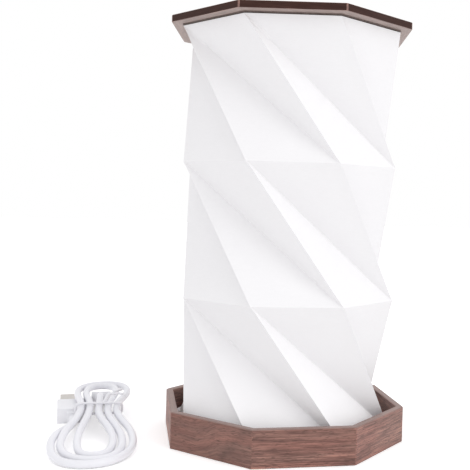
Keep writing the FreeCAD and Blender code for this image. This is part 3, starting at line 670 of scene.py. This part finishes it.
class LAMP_OT_add_plugs(bpy.types.Operator):
    """Add both plugs: moulded grips with a ribbed neck, and folded metal shells"""

    bl_idname = "lamp.add_plugs"
    bl_label = "Plugs"

    def grip(self, name, neck, block, bevel, skin):
        """A moulded grip along +Y. bevel cuts its front corners, and skin rounds every edge."""
        front = neck[2] + block[2]
        deselect()
        bpy.ops.mesh.primitive_cube_add(size=1.0, location=(0, neck[2] + block[2] / 2, 0))
        piece = named(name)
        piece.scale = (block[0], block[2], block[1])
        settle(piece)
        bpy.ops.object.mode_set(mode="EDIT")
        if bevel:
            pick(piece, "EDGE", lambda e: all(v.co.y > front - CLOSE for v in e.verts)
                 and abs(e.verts[0].co.x - e.verts[1].co.x) < CLOSE)
            bpy.ops.mesh.bevel(offset=bevel, segments=3, affect="EDGES")
        pick(piece, "FACE", lambda f: f.normal.y < -0.9)
        bpy.ops.mesh.inset(thickness=SHOULDER)
        narrow, flat = (neck[k] / (block[k] - 2 * SHOULDER) for k in (0, 1))
        bpy.ops.transform.resize(value=(narrow, 1, flat), center_override=(0, neck[2], 0))
        parts = 2 * RIBS + 1
        for k in range(parts):
            extrude(0, -neck[2] / parts, 0)
            if k < parts - 1:
                share = 1 / GROOVE if k % 2 else GROOVE
                extrude(0, -GROOVE_WALL, 0)
                bpy.ops.transform.resize(value=(share, 1, share), center_override=(0, 0, 0))
        bpy.ops.object.mode_set(mode="OBJECT")
        finish_with(piece, "BEVEL", width=skin, segments=4, limit_method="ANGLE",
                    angle_limit=math.radians(40))
        smooth_below(piece, 35)
        return piece

    def shell(self, name, start, corners, length, round_off):
        """A folded metal shell, open at its front, along +Y from the start."""
        deselect()
        bpy.ops.mesh.primitive_circle_add(vertices=len(corners), radius=1.0, fill_type="NGON")
        piece = named(name)
        for vertex, (x, z) in zip(piece.data.vertices, corners):
            vertex.co = (x, start, z)
        bpy.ops.object.mode_set(mode="EDIT")
        bpy.ops.mesh.select_all(action="SELECT")
        extrude(0, length, 0)
        bpy.ops.mesh.delete(type="ONLY_FACE")
        pick(piece, "EDGE", lambda e: abs(e.verts[0].co.y - e.verts[1].co.y) > length / 2)
        bpy.ops.mesh.bevel(offset=round_off, segments=4, affect="EDGES")
        bpy.ops.mesh.select_all(action="SELECT")
        bpy.ops.mesh.normals_make_consistent(inside=False)
        bpy.ops.object.mode_set(mode="OBJECT")
        finish_with(piece, "SOLIDIFY", thickness=TIP_WALL, offset=-1.0, use_even_offset=True)
        smooth_below(piece, 35)
        return piece

    def seat(self, piece, spot, way, cable):
        """Turns a piece from +Y to its way and moves it to its seat in the hank."""
        turn = Vector((0, 1, 0)).rotation_difference(way).to_matrix().to_4x4()
        piece.matrix_world = Matrix.Translation(Vector(cable.place) + spot) @ turn
        settle(piece)

    def execute(self, context):
        cable = context.scene.lamp_cable
        (large, large_way), (small, small_way) = plug_seats(cable)
        white = moulded("plug_plastic", (0.88, 0.88, 0.91), 0.42)
        metal = brushed("plug_metal", (0.62, 0.58, 0.55), (3000.0, 40.0, 3000.0))

        body = self.grip("small_plug_body", SMALL_NECK, SMALL_GRIP, bevel=0.0022, skin=0.0009)
        half, high = SMALL_TIP
        slant = half - SMALL_TIP_SLANT
        tip = self.shell(
            "small_plug_tip", SMALL_NECK[2] + SMALL_GRIP[2],
            [(-half, high), (half, high), (half, 0.0), (slant, -high), (-slant, -high),
             (-half, 0.0)], SMALL_TIP_LENGTH, round_off=0.00025)
        for piece in (body, tip):
            self.seat(piece, small, small_way, cable)
        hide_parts("small_plug_grip")
        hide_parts("small_plug_shell")

        wide = self.grip("large_plug_body", LARGE_NECK, LARGE_GRIP, bevel=0.0, skin=0.0014)
        half, high = LARGE_TIP
        cover = self.shell(
            "large_plug_tip", LARGE_NECK[2] + LARGE_GRIP[2],
            [(-half, high), (half, high), (half, -high), (-half, -high)],
            LARGE_TIP_LENGTH, round_off=0.0005)
        for piece in (wide, cover):
            self.seat(piece, large, large_way, cable)
        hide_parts("large_plug_grip")
        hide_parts("large_plug_shell")

        for piece, recipe, material in (
                (body, white, "plug_grip"), (wide, white, "plug_grip"),
                (tip, metal, "plug_metal"), (cover, metal, "plug_metal")):
            recipe.wear(piece)
            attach(piece, "base")
        moulded("plug_tongue", (0.75, 0.75, 0.74), 0.45).wear("large_plug_tongue")
        return {"FINISHED"}


# The tie's covered wire: its thickness, its gap to the strands, its bends round them, and its
# knot's length, turns and steps.
TIE_WIRE, TIE_GAP, TIE_BEND = 0.0013, 0.0003, 0.0012
KNOT, KNOT_TURNS, KNOT_STEPS = 0.006, 2.25, 21

# The way in which the knot stands up from the hank, and its wires' tails from the knot's end.
KNOT_WAY = Vector((0.35, 0.75, 0.55)).normalized()
FIRST_TAIL = ((0.0066, 0.0052, 0.0014), (0.0046, 0.0034, 0.0013), (0.0022, 0.0020, 0.0006))
SECOND_TAIL = ((0.0026, -0.0006, 0.0004), (0.0052, -0.0004, 0.0008), (0.0078, -0.0012, 0.0004))


class LAMP_OT_add_cable_tie(bpy.types.Operator):
    """Add the twist tie: one covered wire round the strands, twisted on itself, with two tails"""

    bl_idname = "lamp.add_cable_tie"
    bl_label = "Twist tie"

    def twisted(self, foot, phase):
        """One of the knot's two wires, from its foot to its end."""
        side = KNOT_WAY.cross(Vector((0, 0, 1))).normalized()
        other = KNOT_WAY.cross(side)
        wire = []
        for k in range(KNOT_STEPS + 1):
            share = k / KNOT_STEPS
            angle = phase + KNOT_TURNS * 2 * math.pi * share
            spread = side * math.cos(angle) + other * math.sin(angle)
            wire.append(foot + KNOT_WAY * (KNOT * share) + spread * (0.46 * TIE_WIRE))
        return wire

    def execute(self, context):
        cable = context.scene.lamp_cable
        reach = cable.diameter / 2 + TIE_GAP + TIE_WIRE / 2
        left = strand_station(cable, 8)[0].x - reach
        right = strand_station(cable, 4)[0].x + reach
        low, high = cable.lift - reach, cable.lift + reach
        foot = Vector((right - 2 * cable.step, 0, high))
        end = foot + KNOT_WAY * KNOT
        band = [Vector((x, 0, z)) for x, z in (
            (foot.x - 0.002, high), (left + TIE_BEND, high), (left, high - TIE_BEND),
            (left, low + TIE_BEND), (left + TIE_BEND, low), (right - TIE_BEND, low),
            (right, low + TIE_BEND), (right, high - TIE_BEND), (right - TIE_BEND, high),
            (foot.x + 0.002, high))]
        run = [end + Vector(spot) for spot in FIRST_TAIL]
        run += self.twisted(foot, 0.0)[::-1] + band + self.twisted(foot, math.pi)
        run += [end + Vector(spot) for spot in SECOND_TAIL]
        middle = Vector(cable.place)
        tie = smooth_line("cable_tie", [middle + point for point in run], TIE_WIRE / 2, 3)
        moulded("tie_covering", (0.87, 0.87, 0.90), 0.38, grain=1800.0).wear(tie)
        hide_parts("twist_tie")
        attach(tie, "base")
        return {"FINISHED"}


# -------- paper shade

# How many degrees each tier twists beyond one side of the octagon, from the lowest tier up.
TIER_TWISTS = (4.1, 4.2, 2.4)

# The sheet stops this far inside its box's top and bottom.
HEM_GAP = 0.0001

# Cuts across each facet, enough for its bow.
FACET_CUTS = 23

# The bow fades in over this share of a facet's height, from its level fold.
BOW_FADE = 0.12

# How often the sheet is smoothed below the plate's corners, and by how many steps.
EASE_ROUNDS, EASE_STEPS = 5, 16


class LAMP_OT_fold_shade(bpy.types.Operator):
    """Fold the paper shade: three twisted tiers of eight ridges and eight valleys"""

    bl_idname = "lamp.fold_shade"
    bl_label = "Paper shade"

    def execute(self, context):
        paper = context.scene.lamp_paper
        deselect()
        bpy.ops.mesh.primitive_circle_add(
            vertices=SIDES, radius=paper.radius, fill_type="NOTHING",
            location=(0, 0, SHADE_LOW.z + HEM_GAP), rotation=(0, 0, math.radians(180 / SIDES)))
        shade = named("folded_shade")
        settle(shade)
        bpy.ops.object.mode_set(mode="EDIT")
        bpy.ops.mesh.select_mode(type="EDGE")
        bpy.ops.mesh.select_all(action="SELECT")
        tier = (SHADE_HIGH.z - SHADE_LOW.z - 2 * HEM_GAP) / 3
        widen = paper.top_radius / paper.radius
        for twist, width in zip(TIER_TWISTS, (1.0, 1.0, widen)):
            extrude(0, 0, tier)
            bpy.ops.transform.rotate(
                value=math.radians(360 / SIDES + twist), orient_axis="Z", center_override=(0, 0, 0))
            bpy.ops.transform.resize(value=(width, width, 1), center_override=(0, 0, 0))
        bpy.ops.mesh.select_mode(type="FACE")
        bpy.ops.mesh.select_all(action="SELECT")
        bpy.ops.mesh.quads_convert_to_tris(quad_method="LONGEST_DIAGONAL")
        bpy.ops.mesh.normals_make_consistent(inside=False)
        self.map_facets(shade)
        bpy.ops.mesh.select_all(action="SELECT")
        bpy.ops.mesh.subdivide(number_cuts=FACET_CUTS)
        bpy.ops.object.mode_set(mode="OBJECT")
        self.bow_facets(shade, paper.bow)
        self.ease_corners(shade, paper)
        finish_with(shade, "SOLIDIFY", thickness=paper.sheet, offset=-1.0, use_even_offset=True)
        smooth_below(shade, 12)
        self.paper_finish(paper).wear(shade)
        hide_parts("paper_shade")
        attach(shade, "base")
        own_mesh(shade)
        return {"FINISHED"}

    def map_facets(self, shade):
        """Maps each facet: u runs from its valley fold to its ridge fold, v from its level fold."""
        sheet = bmesh.from_edit_mesh(shade.data)
        lengths = {}
        for edge in sheet.edges:
            low, high = sorted(v.co.z for v in edge.verts)
            lengths[edge] = 0.0 if high - low < 0.001 else edge.calc_length()
        facet_map = sheet.loops.layers.uv.new("facet_map")
        for face in sheet.faces:
            valley = max(face.edges, key=lambda e: lengths[e])
            level = min(face.edges, key=lambda e: lengths[e])
            for loop in face.loops:
                on_valley, on_level = loop.vert in valley.verts, loop.vert in level.verts
                loop[facet_map].uv = (0.0 if on_valley else 1.0, 0.0 if on_level else 1.0)
        bmesh.update_edit_mesh(shade.data)

    def bow_facets(self, shade, bow):
        """Paper resists its folds: between them a facet lies a little deeper than its plane."""
        mesh = shade.data
        facet_map = mesh.uv_layers["facet_map"].data
        moves = {}
        for face in mesh.polygons:
            for index in face.loop_indices:
                across, along = facet_map[index].uv
                # A facet narrows from its level fold to its tip.
                width = max(1e-6, 1.0 - along)
                share = min(1.0, across / width)
                # 16 makes it 1 half-way between the folds.
                profile = 16 * (share * (1 - share)) ** 2
                depth = profile * width * min(1.0, along / BOW_FADE)
                corner = mesh.loops[index].vertex_index
                moves[corner] = -face.normal * (bow * depth)
        for corner, move in moves.items():
            mesh.vertices[corner].co += move

    def ease_corners(self, shade, paper):
        """The valleys run out before they reach the plate: fills them out below its corners.

        Each round smooths the sheet there, and puts back what it drew in, so the ridges stay.
        """
        top = max(v.co.z for v in shade.data.vertices)
        corners = [v.co.copy() for v in shade.data.vertices if v.co.z > top - CLOSE
                   and math.hypot(v.co.x, v.co.y) > paper.top_radius - CLOSE]
        group = shade.vertex_groups.new(name="corners")
        for vertex in shade.data.vertices:
            near = min((vertex.co - corner).length for corner in corners)
            if near < paper.ease and vertex.co.z < top - CLOSE:
                weight = min(1.0, 2.0 * (1.0 - near / paper.ease))
                group.add([vertex.index], weight, "REPLACE")
        folded = [v.co.copy() for v in shade.data.vertices]
        for _ in range(EASE_ROUNDS):
            finish_with(
                shade, "SMOOTH", factor=0.5, iterations=EASE_STEPS, vertex_group="corners")
            for vertex, place in zip(shade.data.vertices, folded):
                if math.hypot(vertex.co.x, vertex.co.y) < math.hypot(place.x, place.y):
                    vertex.co = place
        shade.vertex_groups.clear()

    def paper_finish(self, paper):
        """Tear-proof paper: long pale fibres, a soft tooth and no gloss."""
        colour = tuple(paper.colour)
        recipe = Recipe("shade_paper", colour, 0.85, Specular_IOR_Level=0.2)
        fibres = recipe.noise(recipe.turned(0.5, (260.0, 260.0, 900.0)), 1.0, 4.0, 0.6, 1.2)
        cloud = recipe.noise(recipe.place, 26.0, 4.0)
        tooth = recipe.noise(recipe.place, 1800.0, 3.0)
        tone = recipe.blend(cloud, tinted(colour, 0.985), colour)

        # Painted light: the lowest tier is a little paler, against the shade that the tray's walls
        # cast.
        height = recipe.axis(recipe.place, "Z")
        low = recipe.ramp(recipe.times(height, 10.0), (0.18, 1.0), (0.32, 0.4), (0.65, 0.0))
        tone = recipe.blend(low, tone, tinted(colour, 1.09))
        strand = recipe.ramp(fibres, (0.42, 0.0), (0.60, 1.0))
        tone = recipe.blend(recipe.times(strand, 0.25), tone, tinted(colour, 1.03))

        # Painted highlight pale along the ridges and painted shade grey in the valleys, both faded
        # out where the folds run out below the plate.
        facet_map = recipe.add("ShaderNodeUVMap", uv_map="facet_map").outputs["UV"]
        across = recipe.axis(facet_map, "X")
        depth = recipe.maths("SUBTRACT", SHADE_HIGH.z, height)
        below = recipe.maths("MULTIPLY", depth, 60.0, clamp=True)
        ridge = recipe.times(recipe.ramp(across, (0.96, 0.0), (0.99, 1.0)), below)
        tone = recipe.blend(recipe.times(ridge, 0.32), tone, (0.98, 0.98, 0.985))
        valley = recipe.ramp(across, (0.0, 1.0), (0.08, 0.5), (0.30, 0.0))
        valley = recipe.times(valley, below)
        tone = recipe.blend(recipe.times(valley, 0.12), tone, (0.72, 0.70, 0.71))

        recipe.colour(tone)
        recipe.rough(fibres, 0.78, 0.92)
        recipe.bump(recipe.maths("ADD", recipe.times(fibres, 0.5), tooth), 0.12, 0.00004)
        return recipe


# -------- walnut

# How much lighter or darker than the rest each stave is, in the order of SIDE_NAMES.
# Part of the left stave's lightness is painted sheen, where it is seen at a glancing angle.
STAVE_TONES = (0.98, 1.03, 1.0, 0.95, 1.02, 0.97, 1.14, 0.88)

# Length, breadth and height of one mark of each kind, in metres.
BANDS = (0.110, 0.011, 0.010)
LINES = (0.036, 0.0015, 0.0014)
HAIRS = (0.014, 0.00055, 0.00055)
PORES = (0.0030, 0.00040, 0.00042)
HUES = (0.060, 0.006, 0.005)


def climb_past_knot(recipe, turn, climb):
    """Bends the grain upwards in the middle of a stave. Returns the places along and up it."""
    along, height = recipe.axis(recipe.turned(turn), "X"), recipe.axis(recipe.place, "Z")
    middle = recipe.maths("ADD", recipe.times(along, 22.0), 0.5)
    rise = recipe.ramp(middle, (0.30, 0.0), (0.47, 0.35), (0.60, 0.8), (0.85, 1.0))
    shift = recipe.add("ShaderNodeCombineXYZ", ("Z", recipe.times(rise, -climb)))
    recipe.place = recipe.vector("ADD", recipe.place, shift.outputs[0])
    return along, height


def darken_knot(recipe, tone, along, height, bands):
    """A soft dark smudge that leans across the stave, to the right of its middle."""
    across = recipe.total((along, 60.0), (height, -54.0), (bands, 0.3))
    smudge = recipe.ramp(across, (0.23, 0.0), (0.50, 1.0), (0.58, 0.8), (0.83, 0.0))
    return recipe.blend(recipe.times(smudge, 0.85), tone, (0.72, 0.74, 0.74), "MULTIPLY")


def walnut(name, turn, seed, rim_sheen=None, under=None, climb=0.0, gloss=0.15, depth=1.0):
    """Oiled walnut with its grain along the piece: bands, growth lines, hairs and dark pores.

    turn is the piece's way round the axis, and seed sets its grain apart from the others'.
    The rim and under colours paint light on the level faces, up and down: a painted sheen on the
    tops, where they reflect the pale room, and painted bounce light on the undersides. climb is how
    far the grain rises past a knot, where there is one, and depth lightens or darkens the piece.
    """
    wood = bpy.context.scene.lamp_walnut
    light, dark = tinted(wood.light, depth), tinted(wood.dark, depth)
    middle = tuple(0.5 * (a + b) for a, b in zip(dark, light))
    recipe = Recipe(name, light, 0.5, Specular_IOR_Level=gloss)
    if climb:
        along, height = climb_past_knot(recipe, turn, climb)

    def marks(size, detail, rough=0.5, twist=0.0):
        scale = tuple(1.0 / part for part in size)
        where = recipe.turned(turn, scale, (0.013 * seed, 0.007 * seed, 0.0))
        return recipe.noise(where, 1.0, detail, rough, twist)

    bands = marks(BANDS, 3.0, 0.55, 0.5)
    lines = marks(LINES, 3.0, 0.65, 0.3)
    hairs = marks(HAIRS, 3.0, 0.7, 0.1)
    pore = recipe.ramp(marks(PORES, 1.0), (0.34, 1.0), (0.43, 0.0))
    hue = recipe.ramp(marks(HUES, 2.0), (0.40, 0.0), (0.62, 0.55))

    figure = recipe.total((bands, 0.22), (lines, 0.32), (hairs, 0.58))
    if climb:
        # Round a knot the figure is calmer.
        figure = recipe.maths("ADD", recipe.times(figure, 0.6), 0.225)
    tone = recipe.ramp(
        figure, (0.46, dark), (0.53, middle), (0.60, light), (0.68, tinted(light, 1.5)))
    tone = recipe.blend(hue, tone, (1.12, 0.90, 0.88), "MULTIPLY")
    tone = recipe.blend(recipe.times(pore, 0.6), tone, tinted(dark, 0.6))
    if climb:
        tone = darken_knot(recipe, tone, along, height, bands)

    facing = recipe.upward()
    # Painted sheen on the level tops, where they reflect the pale room.
    if rim_sheen:
        up = recipe.ramp(facing, (0.5, 0.0), (0.8, 1.0))
        tone = recipe.blend(recipe.times(up, 0.75), tone, rim_sheen)
    # Painted light on the undersides, as light thrown up from below, mottled with the grain.
    if under:
        down = recipe.ramp(recipe.times(facing, -1.0), (0.5, 0.0), (0.8, 1.0))
        mottle = recipe.ramp(hairs, (0.36, tinted(under, 0.78)), (0.62, tinted(under, 1.15)))
        tone = recipe.blend(recipe.times(down, 0.92), tone, mottle)
    recipe.colour(tone)
    recipe.rough(hairs, 0.42, 0.64)
    recipe.bump(recipe.maths("SUBTRACT", hairs, recipe.times(pore, 0.8)), 0.3, 0.0002)
    return recipe


def paint_inner_shade(recipe, turn):
    """Darkens the inner faces with painted shade, as the tray's walls shade its inside."""
    inward = recipe.times(recipe.outward(turn), -1.0)
    inner = recipe.ramp(inward, (0.80, 0.0), (0.90, 1.0))
    recipe.colour(recipe.blend(inner, recipe.tone(), (0.66, 0.68, 0.68), "MULTIPLY"))


def stain_edge(recipe, turn, edge, mitre_glint):
    """Stains the lid's upright faces, and paints a highlight on their eased mitres."""
    facing = recipe.outward(turn)
    upright = recipe.ramp(facing, (0.955, 0.0), (0.975, 1.0))
    # Painted highlight on the eased corners between the strips.
    corner_glint = recipe.ramp(facing, (0.90, 0.0), (0.92, 1.0))
    corner_glint = recipe.maths("SUBTRACT", corner_glint, upright)
    stained = recipe.blend(recipe.times(upright, 0.93), recipe.tone(), edge)
    recipe.colour(recipe.blend(recipe.times(corner_glint, 0.38), stained, mitre_glint))


class LAMP_OT_finish_walnut(bpy.types.Operator):
    """Give the tray's staves and the lid's strips and panel their walnut, grain along each piece"""

    bl_idname = "lamp.finish_walnut"
    bl_label = "Walnut"

    def execute(self, context):
        wood = context.scene.lamp_walnut
        top, under = tuple(wood.top), tuple(wood.underside_light)
        for k, (name, depth) in enumerate(zip(SIDE_NAMES, STAVE_TONES)):
            turn = math.radians(360 / SIDES * k)
            climb = wood.climb if name == "front_left" else 0.0
            stave = walnut("stave_walnut_" + name, turn, k + 1, rim_sheen=top, climb=climb, gloss=0.5,
                           depth=depth)
            paint_inner_shade(stave, turn)
            stave.wear("tray_stave_" + name)
            strip = walnut("strip_walnut_" + name, turn + LID_TURN, k + 11, under=under)
            stain_edge(strip, turn + LID_TURN, tuple(wood.edge), tuple(wood.mitre_glint))
            strip.wear("lid_strip_" + name)
        walnut("panel_walnut", LID_TURN, 23, under=under).wear("lid_panel")
        return {"FINISHED"}


# -------- floor and light module


class LAMP_OT_finish_inner_parts(bpy.types.Operator):
    """Give the floor, pad, module, boards, screws and socket their materials"""

    bl_idname = "lamp.finish_inner_parts"
    bl_label = "Floor and light module"

    def execute(self, context):
        speckled("pressed_board", (0.34, 0.25, 0.19), 0.8, 520.0,
                 (0.26, 0.18, 0.13), (0.42, 0.33, 0.26), 0.3, 0.0001).wear("tray_floor")
        speckled("soft_pad", (0.05, 0.045, 0.045), 0.95, 1500.0,
                 (0.03, 0.03, 0.03), (0.075, 0.07, 0.07), 0.6, 0.0002).wear("base_pad")
        card = speckled("card", (0.17, 0.135, 0.12), 0.85, 900.0,
                        (0.145, 0.112, 0.098), (0.195, 0.157, 0.14), 0.2, 0.00005)
        mask = speckled("solder_mask", (0.82, 0.83, 0.80), 0.35, 340.0,
                        (0.76, 0.78, 0.75), (0.85, 0.86, 0.83), 0.2, 0.00003)
        zinc = brushed("zinc_plating", (0.62, 0.62, 0.64), (1500.0, 1500.0, 60.0))
        for recipe, nodes in (
                (card, ("paper_ring", "paper_plate")),
                (mask, ("light_board", "charger_board")),
                (zinc, ("cup_screws", "board_screws", "lid_magnet"))):
            for node in nodes:
                recipe.wear(node)

        moulded("module_plastic", (0.80, 0.80, 0.78), 0.45).wear("module_cup")
        moulded("opal_plastic", (0.90, 0.89, 0.85), 0.55, grain=1200.0).wear("diffuser_cap")
        moulded("sensor_case", (0.03, 0.03, 0.03), 0.5).wear("lid_sensor")
        moulded("light_gel", (0.85, 0.72, 0.33), 0.3, grain=800.0).wear("light_chips")
        moulded("socket_plastic", (0.05, 0.05, 0.05), 0.5).wear("socket_tongue")
        moulded("lead_covering", (0.45, 0.05, 0.045), 0.4).wear("charging_leads")
        brushed("cell_foil", (0.66, 0.67, 0.70), (90.0, 700.0, 700.0)).wear("battery_cell")
        brushed("socket_metal", (0.62, 0.60, 0.58),
                (3000.0, 40.0, 3000.0)).wear("charging_socket")
        return {"FINISHED"}


# -------- panel and registration


OPERATORS = (
    LAMP_OT_add_camera,
    LAMP_OT_add_plugs,
    LAMP_OT_add_cable_tie,
    LAMP_OT_add_cable,
    LAMP_OT_fold_shade,
    LAMP_OT_finish_walnut,
    LAMP_OT_finish_inner_parts,
    LAMP_OT_light_stage,
)

SETTINGS = {
    "lamp_camera": CameraSettings,
    "lamp_stage": StageSettings,
    "lamp_paper": PaperSettings,
    "lamp_walnut": WalnutSettings,
    "lamp_cable": CableSettings,
}


class LAMP_PT_panel(bpy.types.Panel):
    """Lists the lamp's pieces in the sidebar"""

    bl_idname = "LAMP_PT_panel"
    bl_label = "Folding paper lamp"
    bl_space_type = "VIEW_3D"
    bl_region_type = "UI"
    bl_category = "Paper lamp"

    def draw(self, context):
        for word, group in SETTINGS.items():
            box = self.layout.box()
            box.label(text=word.replace("lamp_", "").title())
            for setting in group.__annotations__:
                box.prop(getattr(context.scene, word), setting)
        for operator in OPERATORS:
            self.layout.operator(operator.bl_idname)


CLASSES = (*SETTINGS.values(), *OPERATORS, LAMP_PT_panel)


def register():
    for group in CLASSES:
        bpy.utils.register_class(group)
    for word, group in SETTINGS.items():
        setattr(bpy.types.Scene, word, bpy.props.PointerProperty(type=group))


def unregister():
    for word in SETTINGS:
        delattr(bpy.types.Scene, word)
    for group in reversed(CLASSES):
        bpy.utils.unregister_class(group)


def main():
    register()
    for operator in OPERATORS:
        family, word = operator.bl_idname.split(".")
        getattr(getattr(bpy.ops, family), word)()
    deselect()


if __name__ == "__main__":
    main()
